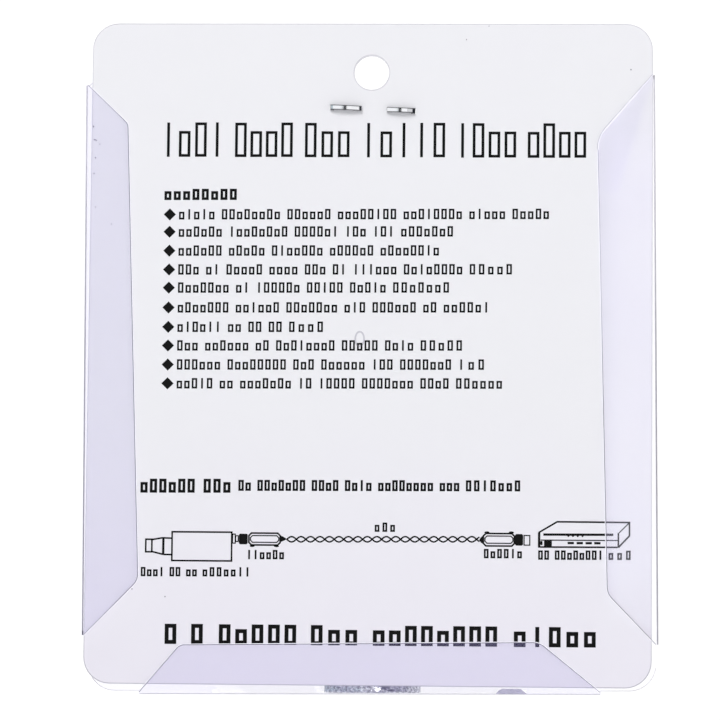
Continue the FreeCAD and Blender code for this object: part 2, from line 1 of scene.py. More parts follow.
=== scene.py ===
# %% [markdown]
# # A small video balun in its slide-blister pack, seen from the back of the card
#
# The pack hangs on a peg, so what the shopper turns over is a white printed card. A clear formed
# sheet lies over the card's front, and its edges are folded round to the back on three sides.
# The CAD model gives every real shape. This notebook adds the finishes, the print, the light
# and the camera, and keeps each new piece on the body that it moves with.

# %% Frame
import bmesh
import bpy
import json
import math
import random
from mathutils import Matrix, Vector

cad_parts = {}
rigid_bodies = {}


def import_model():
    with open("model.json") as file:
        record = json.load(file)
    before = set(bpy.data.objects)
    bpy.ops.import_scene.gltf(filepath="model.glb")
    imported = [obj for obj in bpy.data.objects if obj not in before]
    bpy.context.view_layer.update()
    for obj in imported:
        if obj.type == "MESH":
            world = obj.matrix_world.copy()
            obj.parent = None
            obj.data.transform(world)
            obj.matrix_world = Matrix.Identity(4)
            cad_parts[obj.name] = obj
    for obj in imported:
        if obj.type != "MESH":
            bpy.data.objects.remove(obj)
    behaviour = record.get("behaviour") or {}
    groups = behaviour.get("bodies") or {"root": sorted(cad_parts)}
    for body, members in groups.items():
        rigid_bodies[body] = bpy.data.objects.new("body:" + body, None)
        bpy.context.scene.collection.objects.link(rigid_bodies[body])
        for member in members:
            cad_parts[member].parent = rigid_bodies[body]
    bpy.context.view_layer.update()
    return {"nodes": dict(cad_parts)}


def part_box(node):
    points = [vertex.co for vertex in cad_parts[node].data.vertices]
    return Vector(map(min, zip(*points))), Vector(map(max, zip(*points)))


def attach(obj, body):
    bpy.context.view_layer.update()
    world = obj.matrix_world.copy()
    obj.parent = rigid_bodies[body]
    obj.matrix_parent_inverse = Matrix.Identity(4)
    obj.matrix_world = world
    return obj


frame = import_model()
print("pieces in the frame:", len(frame["nodes"]))

# %% [markdown]
# ## Small tools
#
# Colours are written as they look on a screen, so one function turns them into linear light.
# One function adds shader nodes, and one starts a finish. Patterns take their size in
# millimetres, because the frame is in metres and a pattern's scale is repeats per metre.

# %% Small tools
MM = 0.001


def linear(code):
    parts = [int(code[i:i + 2], 16) / 255 for i in (1, 3, 5)]
    low = [c / 12.92 if c <= 0.04045 else ((c + 0.055) / 1.055) ** 2.4 for c in parts]
    return (*low, 1.0)


def per_metre(size_mm):
    return 1000.0 / size_mm


def add(tree, kind, inputs=None, **settings):
    made = tree.nodes.new(kind)
    for name, value in settings.items():
        setattr(made, name, value)
    for name, value in (inputs or {}).items():
        if isinstance(value, bpy.types.NodeSocket):
            tree.links.new(value, made.inputs[name])
        else:
            made.inputs[name].default_value = value
    return made


def finish(name, colour, roughness, metallic=0.0):
    material = bpy.data.materials.new(name)
    material.use_nodes = True
    tree = material.node_tree
    shader = tree.nodes["Principled BSDF"]
    shader.inputs["Base Color"].default_value = linear(colour)
    shader.inputs["Roughness"].default_value = roughness
    shader.inputs["Metallic"].default_value = metallic
    return material, tree, shader


def place_on_piece(tree, stretch=(1, 1, 1)):
    spot = add(tree, "ShaderNodeTexCoord").outputs["Object"]
    if stretch == (1, 1, 1):
        return spot
    return add(tree, "ShaderNodeMapping", {"Vector": spot, "Scale": stretch}).outputs["Vector"]


def noise(tree, size_mm, detail=3.0, stretch=(1, 1, 1)):
    spot = place_on_piece(tree, stretch)
    made = add(tree, "ShaderNodeTexNoise", {"Vector": spot, "Scale": per_metre(size_mm), "Detail": detail})
    return made.outputs["Fac"]


def spread(tree, value, low, high):
    made = add(tree, "ShaderNodeMapRange", {"Value": value, "To Min": low, "To Max": high})
    return made.outputs["Result"]


def along(tree, axis, start_mm, end_mm):
    # 0 before the first place on this axis of the piece, 1 after the second, and even between them
    place = add(tree, "ShaderNodeSeparateXYZ", {"Vector": place_on_piece(tree)}).outputs[axis]
    made = add(tree, "ShaderNodeMapRange", {"Value": place, "From Min": start_mm * MM, "From Max": end_mm * MM})
    return made.outputs["Result"]


def blend(tree, amount, first, second):
    # Each of the two is a colour code or another node's colour
    made = add(tree, "ShaderNodeMix", {"Factor": amount}, data_type="RGBA")
    for socket, colour in zip([s for s in made.inputs if s.type == "RGBA"], (first, second)):
        if isinstance(colour, str):
            socket.default_value = linear(colour)
        else:
            tree.links.new(colour, socket)
    return [s for s in made.outputs if s.type == "RGBA"][0]


def raised(tree, shader, height, distance_mm, strength=1.0):
    bump = add(tree, "ShaderNodeBump", {"Height": height, "Distance": distance_mm * MM, "Strength": strength})
    tree.links.new(bump.outputs["Normal"], shader.inputs["Normal"])


# %% [markdown]
# ## Camera
#
# The four corners of the card, read off the photo, fix the camera: a long lens a little over
# half a metre away, level with the foot of the card and looking slightly up. That is why the
# card's sides lean together a little and why only a thin strip shows below it.

# %% Camera
CAMERA_PLACE = Vector((23.0595, -538.5203, -92.0841)) * MM
YAW, PITCH, ROLL = (math.radians(a) for a in (-2.5989, 5.1295, 0.5393))
LENS_MM, SENSOR_MM = 180.0, 36.0

forward = Vector((math.sin(YAW) * math.cos(PITCH), math.cos(YAW) * math.cos(PITCH), math.sin(PITCH)))
level = Vector((math.cos(YAW), -math.sin(YAW), 0))
upright = level.cross(forward)
right = level * math.cos(ROLL) + upright * math.sin(ROLL)
up = upright * math.cos(ROLL) - level * math.sin(ROLL)
turn = Matrix((right, up, -forward)).transposed().to_4x4()

lens = bpy.data.cameras.new("camera")
lens.lens = LENS_MM
lens.sensor_width = SENSOR_MM
lens.clip_start = 0.01
lens.clip_end = 50
camera = bpy.data.objects.new("camera", lens)
camera.matrix_world = Matrix.Translation(CAMERA_PLACE) @ turn
bpy.context.scene.collection.objects.link(camera)
bpy.context.scene.camera = camera
bpy.context.scene.view_settings.view_transform = "Standard"
print("distance to the card:", round(CAMERA_PLACE.length / MM), "mm")

# %% [markdown]
# ## Room and light
#
# The photo has a pure white ground and light without hard edges. The room is white for the
# camera only, so the ground stays clean while the light on the card comes from large panels.
# The key panel stands high on the camera's side: the card is a touch brighter at its top and
# each staple leg throws a soft shadow downward. Bright metal shows what stands around it, so
# for reflections alone the room has bright screens with grey gaps between them behind the
# camera, from left to right. They put the bright and dark parts on the staple and the plug,
# along with painted shade and glints in those two finishes.

# %% Room and light
world = bpy.data.worlds.new("white_room")
bpy.context.scene.world = world
world.use_nodes = True
room = world.node_tree
room.nodes.clear()
ray = add(room, "ShaderNodeLightPath").outputs
soft = add(room, "ShaderNodeBackground", {"Color": linear("#eeeef4"), "Strength": 0.42})
white = add(room, "ShaderNodeBackground", {"Color": linear("#ffffff"), "Strength": 1.1})
direction = add(room, "ShaderNodeTexCoord").outputs["Generated"]
toward = add(room, "ShaderNodeSeparateXYZ", {"Vector": direction}).outputs
across_room = add(room, "ShaderNodeMapRange", {"Value": toward["X"], "From Min": -1.0})
ramp = add(room, "ShaderNodeValToRGB", {"Fac": across_room.outputs["Result"]})
SCREENS = [(-1.0, "#b3c0c6"), (-0.45, "#c6d2d6"), (-0.3, "#ffffff"), (-0.16, "#f4f7f9"), (-0.105, "#1c1d21"),
           (-0.04, "#1c1d21"), (-0.005, "#ffffff"), (0.17, "#ffffff"), (0.25, "#55565e"), (0.85, "#62636c"),
           (0.95, "#a4a6ae")]
stops = ramp.color_ramp.elements
for place, colour in SCREENS[1:-1]:
    stops.new((place + 1) / 2)
for stop, (place, colour) in zip(stops, SCREENS):
    stop.position = (place + 1) / 2
    stop.color = linear(colour)
to_right = add(room, "ShaderNodeMapRange", {"Value": toward["X"], "From Min": 0.2, "From Max": 0.4})
beyond = add(room, "ShaderNodeMapRange", {"Value": toward["Y"], "From Min": 0.05, "From Max": 0.3})
far_wall = add(room, "ShaderNodeMath", {0: to_right.outputs["Result"], 1: beyond.outputs["Result"]},
               operation="MULTIPLY")
shown = blend(room, far_wall.outputs["Value"], ramp.outputs["Color"], "#f6f7f9")
screens = add(room, "ShaderNodeBackground", {"Color": shown, "Strength": 1.15})
lit = add(room, "ShaderNodeMixShader", {0: ray["Is Glossy Ray"], 1: soft.outputs[0], 2: screens.outputs[0]})
mixed = add(room, "ShaderNodeMixShader", {0: ray["Is Camera Ray"], 1: lit.outputs[0], 2: white.outputs[0]})
add(room, "ShaderNodeOutputWorld", {"Surface": mixed.outputs[0]})
print("bright screens for reflections:", len(SCREENS), "stops")


def panel(name, place_mm, size_mm, watts, aim_mm=(0, 0, -45)):
    light = bpy.data.lights.new(name, "AREA")
    light.shape = "SQUARE"
    light.size = size_mm * MM
    light.energy = watts
    lamp = bpy.data.objects.new(name, light)
    lamp.location = Vector(place_mm) * MM
    way = Vector(aim_mm) * MM - lamp.location
    lamp.rotation_euler = way.to_track_quat("-Z", "Y").to_euler()
    bpy.context.scene.collection.objects.link(lamp)
    return lamp


panel("key_panel", (-200, -640, 600), 420, 4.3)
fill = panel("fill_panel", (640, -150, -40), 420, 1.35)
panel("strip_panel", (195, -790, -90), 80, 0.25)
panel("back_panel", (240, 640, 420), 500, 3.2)
low = panel("low_panel", (-420, 520, -60), 400, 1.0)
for lamp in (fill, low):
    lamp.visible_glossy = False

bpy.ops.mesh.primitive_plane_add(size=5.0, location=(0, 0, -0.165))
floor = bpy.context.object
floor.name = "floor"
floor_finish, floor_tree, floor_shader = finish("floor_white_paper", "#f4f4f5", 0.8)
tint = blend(floor_tree, noise(floor_tree, 60), "#f5f5f6", "#f2f2f4")
floor_tree.links.new(tint, floor_shader.inputs["Base Color"])
for_camera = add(floor_tree, "ShaderNodeLightPath").outputs["Is Camera Ray"]
from_pack = add(floor_tree, "ShaderNodeVectorMath", {0: place_on_piece(floor_tree)}, operation="LENGTH")
far_off = add(floor_tree, "ShaderNodeMapRange",
              {"Value": from_pack.outputs["Value"], "From Min": 0.05, "From Max": 0.7, "To Min": 0.35})
fade = add(floor_tree, "ShaderNodeMath", {0: for_camera, 1: far_off.outputs["Result"]}, operation="MULTIPLY")
room_white = add(floor_tree, "ShaderNodeEmission", {"Color": linear("#ffffff"), "Strength": 1.0})
faded = add(floor_tree, "ShaderNodeMixShader", {0: fade.outputs["Value"], 1: floor_shader.outputs[0],
                                                2: room_white.outputs[0]})
floor_tree.links.new(faded.outputs[0], floor_tree.nodes["Material Output"].inputs["Surface"])
floor.data.materials.append(floor_finish)

# %% [markdown]
# ## The card
#
# Real header cards are bleached board of about 300 g/m2 with a clay coat, printed by offset.
# The coat makes the white slightly cool and satin. A very fine fibre texture breaks the
# highlights. The white is neutral at the top and a little violet low down, where light comes
# back from the folded sheet, and broad mottling keeps the change from looking like a fill.

# %% The card
card_finish, tree, shader = finish("board_clay_coated", "#efedf5", 0.5)
uneven = add(tree, "ShaderNodeMath",
             {0: along(tree, "Z", -50, -92), 1: spread(tree, noise(tree, 14, 2), -0.2, 0.2)},
             operation="ADD", use_clamp=True)
bare = blend(tree, uneven.outputs["Value"], "#efeff1", "#edeaf2")
# Under the right fold the card's back is painted lighter: a painted sheen, so the fold over it reads bright as glare
# does.
painted_sheen_under_right_fold = along(tree, "X", 34.5, 37.0)
for axis, start, end in (("Z", -4, -14), ("Z", -84, -74), ("Y", 0.3, 0.1)):
    painted_sheen_under_right_fold = add(tree, "ShaderNodeMath", {0: painted_sheen_under_right_fold, 1: along(tree, axis, start, end)},
                  operation="MULTIPLY").outputs["Value"]
tree.links.new(blend(tree, painted_sheen_under_right_fold, bare, "#f3f2f9"), shader.inputs["Base Color"])
shader.inputs["Specular IOR Level"].default_value = 0.35
raised(tree, shader, noise(tree, 0.35, 4), 0.01, 0.25)

# %% [markdown]
# ## The clear sheet
#
# The pack is formed from clear PVC a quarter of a millimetre thick. Each face takes a little of
# the light, with a faint cool tint, so a fold over the card reads a shade darker and bluer than
# the bare card. Hot forming leaves the sheet slightly wavy, which breaks up its reflections.

# %% The clear sheet
# On the right fold the sheet's colour is painted lighter and less blue: a painted sheen for the
# glare there, with a painted darker reflection edge slanting across its top. Where it is drawn
# out into the bubble it is thinner and clearer.
film_finish, tree, shader = finish("pvc_clear_thermoformed", "#c2b9f6", 0.12)
painted_glare = add(tree, "ShaderNodeMath",
           {0: along(tree, "X", 33.5, 37.5), 1: spread(tree, noise(tree, 16, 2), 0.55, 1.15)},
           operation="MULTIPLY")
aslant = add(tree, "ShaderNodeVectorMath", {0: place_on_piece(tree), 1: (1, 0, -0.3)},
             operation="DOT_PRODUCT")
left_of_glare = add(tree, "ShaderNodeMapRange", {"Value": aslant.outputs["Value"], "From Min": 43.1 * MM,
                                                 "From Max": 42.3 * MM})
painted_reflection_edge = add(tree, "ShaderNodeMath",
             {0: left_of_glare.outputs["Result"], 1: along(tree, "Z", -18.8, -17.4)}, operation="MULTIPLY")
kept = spread(tree, painted_reflection_edge.outputs["Value"], 1.0, 0.3)
painted_glare = add(tree, "ShaderNodeMath", {0: painted_glare.outputs["Value"], 1: kept}, operation="MULTIPLY")
sheet_colour = blend(tree, painted_glare.outputs["Value"], "#c2b9f6", "#fbf9ff")
tree.links.new(blend(tree, along(tree, "Y", 0.8, 3.0), sheet_colour, "#7a769a"), shader.inputs["Base Color"])
shader.inputs["Alpha"].default_value = 0.07
shader.inputs["IOR"].default_value = 1.53
raised(tree, shader, noise(tree, 22, 1), 0.35, 0.5)

# %% [markdown]
# ## Metals
#
# The plug is free-cutting brass with bright nickel plate. Turning leaves fine rings round the
# axis, so its roughness is a noise that is stretched along the turning direction; near its rim
# its colour holds painted glints. The staple is flat galvanised wire drawn through rollers:
# streaks lie along it. Its colour holds painted shade: its rounded edges, which turn away from
# the light, are painted dark, and so are its legs outside two bright spans, as painted reflection.


# %% Metals
def metal(name, colour, roughness, size_mm, stretch):
    material, tree, shader = finish(name, colour, roughness, 1.0)
    streaks = noise(tree, size_mm, 4, stretch)
    tree.links.new(spread(tree, streaks, roughness * 0.6, roughness * 1.5), shader.inputs["Roughness"])
    raised(tree, shader, streaks, 0.01, 0.3)
    return material


nickel_finish = metal("brass_bright_nickel_plate", "#d9dade", 0.16, 3.0, (1, 1, 12))
sleeve_finish = metal("brass_nickel_plate_rim_glints", "#d9dade", 0.16, 3.0, (1, 1, 12))
tree = sleeve_finish.node_tree
at_rim = along(tree, "Z", -91.3, -92.3)
dented = add(tree, "ShaderNodeBump", {"Height": noise(tree, 0.8, 2, (1, 1, 1.4)), "Distance": 0.07 * MM,
                                      "Strength": spread(tree, at_rim, 0.05, 1.0)})
tree.links.new(dented.outputs["Normal"], tree.nodes["Principled BSDF"].inputs["Normal"])
# Near the rim the plate's colour is painted in bright and dark specks: painted glints and reflections. The dents are
# a bump.
painted_rim_glints = blend(tree, spread(tree, noise(tree, 0.45, 3, (1, 1, 1.4)), -1.2, 2.1), "#989aa4", "#f6f7fa")
tree.links.new(blend(tree, at_rim, "#d9dade", painted_rim_glints), tree.nodes["Principled BSDF"].inputs["Base Color"])
brass_finish = metal("brass_stamped", "#d8b35c", 0.28, 2.0, (1, 1, 1))
gold_finish = metal("brass_gold_plate", "#e9c162", 0.18, 2.0, (1, 1, 8))
wire_finish = metal("steel_wire_galvanised", "#e6e7ea", 0.09, 1.2, (1, 3, 8))
tree = wire_finish.node_tree
WIRE_TILT, WIRE_DROP = math.radians(2.4), 5.6
across_wire = add(tree, "ShaderNodeVectorMath", {0: place_on_piece(tree)}, operation="DOT_PRODUCT")
across_wire.inputs[1].default_value = (math.sin(WIRE_TILT), 0, math.cos(WIRE_TILT))
from_middle = add(tree, "ShaderNodeMath", {0: across_wire.outputs["Value"], 1: WIRE_DROP * MM}, operation="ADD")
off_middle = add(tree, "ShaderNodeMath", {0: from_middle.outputs["Value"]}, operation="ABSOLUTE")
rolled_edge_shade = add(tree, "ShaderNodeMapRange", {"Value": off_middle.outputs["Value"], "From Min": 0.2 * MM,
                                               "From Max": 0.33 * MM})
# Outside two bright spans the legs are painted dark: painted reflection and shade.
bright = 0.0
for start, end in ((-6.15, -1.85), (2.35, 6.3)):
    for place, sign in ((start, "ADD"), (end, "SUBTRACT")):
        step_here = along(tree, "X", place - 0.1, place + 0.1)
        bright = add(tree, "ShaderNodeMath", {0: bright, 1: step_here}, operation=sign).outputs["Value"]
on_legs = along(tree, "Y", 0.1, -0.1)
ends = add(tree, "ShaderNodeMath", {0: on_legs, 1: bright}, operation="SUBTRACT", use_clamp=True)
painted_leg_shade = add(tree, "ShaderNodeMath", {0: ends.outputs["Value"], 1: rolled_edge_shade.outputs["Result"]}, operation="MAXIMUM")
tree.links.new(blend(tree, painted_leg_shade.outputs["Value"], "#e6e7ea", "#3c3d42"),
               tree.nodes["Principled BSDF"].inputs["Base Color"])
screw_finish = metal("steel_zinc_plate", "#bfc2c8", 0.3, 0.8, (1, 1, 1))

# %% [markdown]
# ## Plastics and the parts inside
#
# The housing is moulded ABS with a spark-eroded texture, so it is a dark satin and never pure
# black. The terminal block is glass-filled polyamide in the usual green. The board, the ferrite
# ring, its enamelled winding and the suppressor sit inside and show only if the housing is open.


# %% Plastics and the parts inside
def moulded(name, dark, light, roughness, grain_mm, depth_mm=0.02, strength=0.4):
    material, tree, shader = finish(name, light, roughness)
    tree.links.new(blend(tree, noise(tree, 9, 2), dark, light), shader.inputs["Base Color"])
    tree.links.new(spread(tree, noise(tree, 5, 2), roughness * 0.85, roughness * 1.15),
                   shader.inputs["Roughness"])
    raised(tree, shader, noise(tree, grain_mm, 3), depth_mm, strength)
    return material


housing_finish = moulded("abs_black_eroded_texture", "#26262a", "#2e2e32", 0.48, 0.25)
terminal_finish = moulded("polyamide_green_moulded", "#1f7a47", "#278a52", 0.4, 0.4)
insulator_finish = moulded("ptfe_white_turned", "#eeece6", "#f5f4ef", 0.5, 0.5)
gasket_finish = moulded("silicone_red_moulded", "#9c2a22", "#ab3329", 0.6, 0.4)
board_finish = moulded("glass_epoxy_green_mask", "#17603a", "#1e6d44", 0.35, 0.6)
ferrite_finish = moulded("ferrite_sintered", "#3a3a3d", "#48484b", 0.55, 0.2)
epoxy_finish = moulded("epoxy_dipped_dark", "#1b1b20", "#24242a", 0.3, 1.5)
enamel_finish = metal("copper_wire_enamelled", "#b5562f", 0.3, 0.6, (1, 1, 1))

# %% [markdown]
# ## Each piece gets its finish
#
# Every piece of the CAD frame is named once here, beside the finish that it wears. The loop
# stops the script if a piece was forgotten, so nothing is left in the plain grey of the frame.

# %% Finishes on the frame
FINISHES = {
    "backing_card": card_finish,
    "blister": film_finish,
    "staple": wire_finish,
    "coupling_sleeve": sleeve_finish,
    "plug_body": nickel_finish,
    "plug_nut": nickel_finish,
    "plug_gasket": gasket_finish,
    "spring_washer": screw_finish,
    "sleeve_retainer": brass_finish,
    "plug_insulator": insulator_finish,
    "centre_pin": gold_finish,
    "housing_front": housing_finish,
    "housing_back": housing_finish,
    "housing_screws": screw_finish,
    "circuit_board": board_finish,
    "toroid_core": ferrite_finish,
    "toroid_winding": enamel_finish,
    "suppressor": epoxy_finish,
    "terminal_block": terminal_finish,
    "terminal_clamps": brass_finish,
    "terminal_screws": screw_finish,
    "terminal_pins": brass_finish,
}
for name, piece in frame["nodes"].items():
    piece.data.materials.clear()
    piece.data.materials.append(FINISHES[name])
print("finishes given:", len(frame["nodes"]))

# %% [markdown]
# ## How print is made
#
# Offset ink is a film a few thousandths of a millimetre thick. Here it is a closed shape that
# starts just inside the card and stands a hair proud of it, under the folded sheet. A stroke is
# a flat ribbon with mitred corners, and a field is a flat outline; both are points in
# millimetres on the card's back, with X to the right and Z up from the hang hole.

# %% How print is made
INK_INNER = 0.01
INK_OUTER = -0.015


def slab(sheet, outline, inner=INK_INNER, outer=INK_OUTER):
    near = [sheet.verts.new((x * MM, outer * MM, z * MM)) for x, z in outline]
    far = [sheet.verts.new((x * MM, inner * MM, z * MM)) for x, z in outline]
    count = len(outline)
    sheet.faces.new(near)
    sheet.faces.new(far[::-1])
    for i in range(count):
        after = (i + 1) % count
        sheet.faces.new((near[after], near[i], far[i], far[after]))


def ribbon(sheet, points, width, closed=False, inner=INK_INNER, outer=INK_OUTER):
    line = [Vector(p) for p in points]
    count = len(line)
    rails = []
    for i, here in enumerate(line):
        into = here - line[i - 1] if closed or i > 0 else line[1] - here
        out = line[(i + 1) % count] - here if closed or i < count - 1 else into
        into.normalize()
        out.normalize()
        normal = Vector((-(into + out).y, (into + out).x)).normalized()
        reach = width / 2 / max(normal.dot(Vector((-into.y, into.x))), 0.3)
        rails.append([(here + normal * side * reach, depth) for side, depth in
                      ((1, outer), (-1, outer), (-1, inner), (1, inner))])
    rings = [[sheet.verts.new((p.x * MM, depth * MM, p.y * MM)) for p, depth in rail] for rail in rails]
    for i in range(count if closed else count - 1):
        first, second = rings[i], rings[(i + 1) % count]
        for k in range(4):
            sheet.faces.new((first[k], first[(k + 1) % 4], second[(k + 1) % 4], second[k]))
    if not closed:
        sheet.faces.new(rings[0][::-1])
        sheet.faces.new(rings[-1])


def made_piece(name, sheet, material, body="pack"):
    bmesh.ops.recalc_face_normals(sheet, faces=sheet.faces[:])
    mesh = bpy.data.meshes.new(name)
    sheet.to_mesh(mesh)
    sheet.free()
    mesh.materials.append(material)
    piece = bpy.data.objects.new(name, mesh)
    bpy.context.scene.collection.objects.link(piece)
    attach(piece, body)
    return piece


def box_line(x_left, x_right, z_low, z_high):
    return [(x_left, z_low), (x_right, z_low), (x_right, z_high), (x_left, z_high)]


black_ink, tree, shader = finish("ink_offset_black", "#050505", 0.5)
shader.inputs["Specular IOR Level"].default_value = 0.12
tree.links.new(spread(tree, noise(tree, 3, 2), 0.42, 0.6), shader.inputs["Roughness"])
grey_ink, tree, shader = finish("ink_offset_grey", "#c9c8cf", 0.45)
tree.links.new(blend(tree, noise(tree, 0.6, 3), "#c4c3ca", "#d2d1d8"), shader.inputs["Base Color"])

# %% [markdown]
# ## Rows of placeholder print
#
# The real card carries words. They aren't copied: each word's place holds a row of empty
# frames and plain bars of the same height and weight of ink. A Geometry Nodes group walks
# along each word's base line, drops one of the plain shapes at every step and turns the lot
# into real mesh, so a row keeps its look if a word's length is changed.


# %% Rows of placeholder print
def plain_shapes(name, height, width, stroke, low_height):
    group = bpy.data.collections.new(name)
    bpy.context.scene.collection.children.link(group)
    half = stroke / 2
    forms = [
        box_line(-width / 2 + half, width / 2 - half, half, height - half),
        box_line(-width / 2 + half, width / 2 - half, half, low_height - half),
        [(0, 0), (0, height)],
    ]
    for i, form in enumerate(forms):
        sheet = bmesh.new()
        ribbon(sheet, form, stroke, len(form) > 2)
        bmesh.ops.recalc_face_normals(sheet, faces=sheet.faces[:])
        mesh = bpy.data.meshes.new(f"{name}_{i}")
        sheet.to_mesh(mesh)
        sheet.free()
        group.objects.link(bpy.data.objects.new(f"{name}_{i}", mesh))
    return group


def row_maker():
    tree = bpy.data.node_groups.new("placeholder_rows", "GeometryNodeTree")
    sockets = (("Rows", "INPUT", "NodeSocketGeometry"), ("Shapes", "INPUT", "NodeSocketCollection"),
               ("Step", "INPUT", "NodeSocketFloat"), ("Seed", "INPUT", "NodeSocketInt"),
               ("Ink", "INPUT", "NodeSocketMaterial"), ("Print", "OUTPUT", "NodeSocketGeometry"))
    for name, way, kind in sockets:
        tree.interface.new_socket(name, in_out=way, socket_type=kind)
    given = add(tree, "NodeGroupInput")
    line = add(tree, "GeometryNodeMeshToCurve", {"Mesh": given.outputs["Rows"]})
    steps = add(tree, "GeometryNodeResampleCurve", {"Curve": line.outputs["Curve"],
                                                    "Length": given.outputs["Step"]}, mode="LENGTH")
    shapes = add(tree, "GeometryNodeCollectionInfo", {"Collection": given.outputs["Shapes"],
                                                      "Separate Children": True, "Reset Children": True})
    pick = add(tree, "FunctionNodeRandomValue", {"Seed": given.outputs["Seed"]}, data_type="INT")
    low, high = [s for s in pick.inputs if s.type == "INT" and s.name in ("Min", "Max")]
    low.default_value, high.default_value = 0, 8
    chosen = [s for s in pick.outputs if s.type == "INT"][0]
    kinds = add(tree, "ShaderNodeMath", {0: chosen, 1: 4.0}, operation="DIVIDE")
    dropped = add(tree, "GeometryNodeInstanceOnPoints",
                  {"Points": steps.outputs["Curve"], "Instance": shapes.outputs["Instances"],
                   "Pick Instance": True, "Instance Index": kinds.outputs["Value"]})
    real = add(tree, "GeometryNodeRealizeInstances", {"Geometry": dropped.outputs["Instances"]})
    inked = add(tree, "GeometryNodeSetMaterial", {"Geometry": real.outputs["Geometry"],
                                                  "Material": given.outputs["Ink"]})
    add(tree, "NodeGroupOutput", {"Print": inked.outputs["Geometry"]})
    return tree


ROW_MAKER = row_maker()


def print_rows(name, words, shapes, step, seed):
    # words holds (left, right, base height at the left, base height at the right)
    mesh = bpy.data.meshes.new(name)
    points = []
    for left, right, z_left, z_right in words:
        points += [((left + step / 2) * MM, 0, z_left * MM), ((right - step / 2) * MM, 0, z_right * MM)]
    mesh.from_pydata(points, [(i, i + 1) for i in range(0, len(points), 2)], [])
    rows = bpy.data.objects.new(name, mesh)
    bpy.context.scene.collection.objects.link(rows)
    modifier = rows.modifiers.new("rows", "NODES")
    modifier.node_group = ROW_MAKER
    values = {"Shapes": shapes, "Step": step * MM, "Seed": seed, "Ink": black_ink}
    for item in ROW_MAKER.interface.items_tree:
        if item.name in values:
            modifier[item.identifier] = values[item.name]
    ready = bpy.data.meshes.new_from_object(rows.evaluated_get(bpy.context.evaluated_depsgraph_get()))
    rows.modifiers.clear()
    rows.data = ready
    for shape in list(shapes.objects):
        bpy.data.objects.remove(shape)
    bpy.data.collections.remove(shapes)
    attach(rows, "pack")
    print(name, len(words), "words,", len(ready.polygons), "faces")
    return rows


# %% [markdown]
# ## Headings and list
#
# The layout follows the photo: a tall condensed title, a short bold heading, ten list lines
# with a diamond before each, a line over the drawing and a wide bold line at the foot. Word
# lengths in the list come from a fixed seed, since only each line's whole length is on show.

# %% Headings and list
TITLE_BASE = -12.95
TITLE_WORDS = [(-31.9, -22.2), (-20.9, -11.6), (-10.3, -3.0), (-1.55, 11.45), (12.66, 22.17), (23.37, 32.71)]
print_rows("print_title", [(a, b, TITLE_BASE, TITLE_BASE + 0.004 * (b - a)) for a, b in TITLE_WORDS],
           plain_shapes("title_shapes", 5.25, 1.75, 0.42, 3.95), 2.3, 3)

print_rows("print_heading", [(-31.4, -20.1, -19.55, -19.5)],
           plain_shapes("heading_shapes", 1.7, 1.05, 0.4, 1.35), 1.38, 5)

LIST_LEFT = -29.15
LIST_HEIGHT = 1.58
LIST_LINES = [(-22.51, 27.04), (-25.15, 12.61), (-28.03, 14.44), (-30.9, 21.52), (-33.65, 12.07),
              (-36.66, 18.1), (-39.6, -6.86), (-42.42, 14.08), (-45.3, 17.4), (-48.15, 20.12)]
LIST_SLOPE = 0.0048
LETTER_STEP = 1.14


def broken_into_words(left, right, base, step, chance):
    words = []
    while left < right - 3 * step:
        reach = min(left + step * chance.randint(2, 8), right)
        if right - reach < 3 * step:
            reach = right
        words.append((left, reach, base + LIST_SLOPE * (left - LIST_LEFT), base + LIST_SLOPE * (reach - LIST_LEFT)))
        left = reach + step * 0.7
    return words


chance = random.Random(11)
list_words = []
for base, line_end in LIST_LINES:
    list_words += broken_into_words(LIST_LEFT, line_end, base, LETTER_STEP, chance)
print_rows("print_list", list_words, plain_shapes("list_shapes", LIST_HEIGHT, 0.82, 0.27, 1.18), LETTER_STEP, 7)

sheet = bmesh.new()
DIAMOND_REACH = 0.92
for base, line_end in LIST_LINES:
    x, z = -30.38, base + LIST_HEIGHT / 2 - 0.02
    slab(sheet, [(x - DIAMOND_REACH, z), (x, z - DIAMOND_REACH), (x + DIAMOND_REACH, z), (x, z + DIAMOND_REACH)])
made_piece("print_diamonds", sheet, black_ink)

print_rows("print_drawing_title", broken_into_words(-34.4, -20.5, -63.85, 1.42, chance),
           plain_shapes("drawing_title_shapes", 2.1, 1.08, 0.41, 1.6), 1.42, 13)
print_rows("print_drawing_line", broken_into_words(-19.6, 22.9, -63.55, 1.06, chance),
           plain_shapes("drawing_line_shapes", 1.65, 0.82, 0.32, 1.25), 1.06, 17)

FOOT_WORDS = [(-30.54, -24.27), (-22.41, -10.27), (-8.62, -1.15), (0.65, 19.74), (21.68, 34.41)]
print_rows("print_foot", [(a, b, -86.5, -86.48) for a, b in FOOT_WORDS],
           plain_shapes("foot_shapes", 3.0, 1.75, 0.6, 2.3), 2.3, 19)

# %% [markdown]
# ## The wiring drawing
#
# The card shows how the goods are used: a camera on the left, an adapter at each end of a
# twisted pair, and a recorder on the right. It is drawn with plain strokes and dark fields,
# as on the card, and its small captions are rows of short dashes without words.

# %% The wiring drawing
LINE, FINE, BOLD = 0.25, 0.17, 0.35
sheet = bmesh.new()


def cut_box(x_left, x_right, z_low, z_high, cut):
    return [(x_left + cut, z_low), (x_right - cut, z_low), (x_right, z_low + cut), (x_right, z_high - cut),
            (x_right - cut, z_high), (x_left + cut, z_high), (x_left, z_high - cut), (x_left, z_low + cut)]


def foot(x, z):
    slab(sheet, [(x + 0.4 * math.cos(a * math.pi / 4), z + 0.17 * math.sin(a * math.pi / 4)) for a in range(8)])


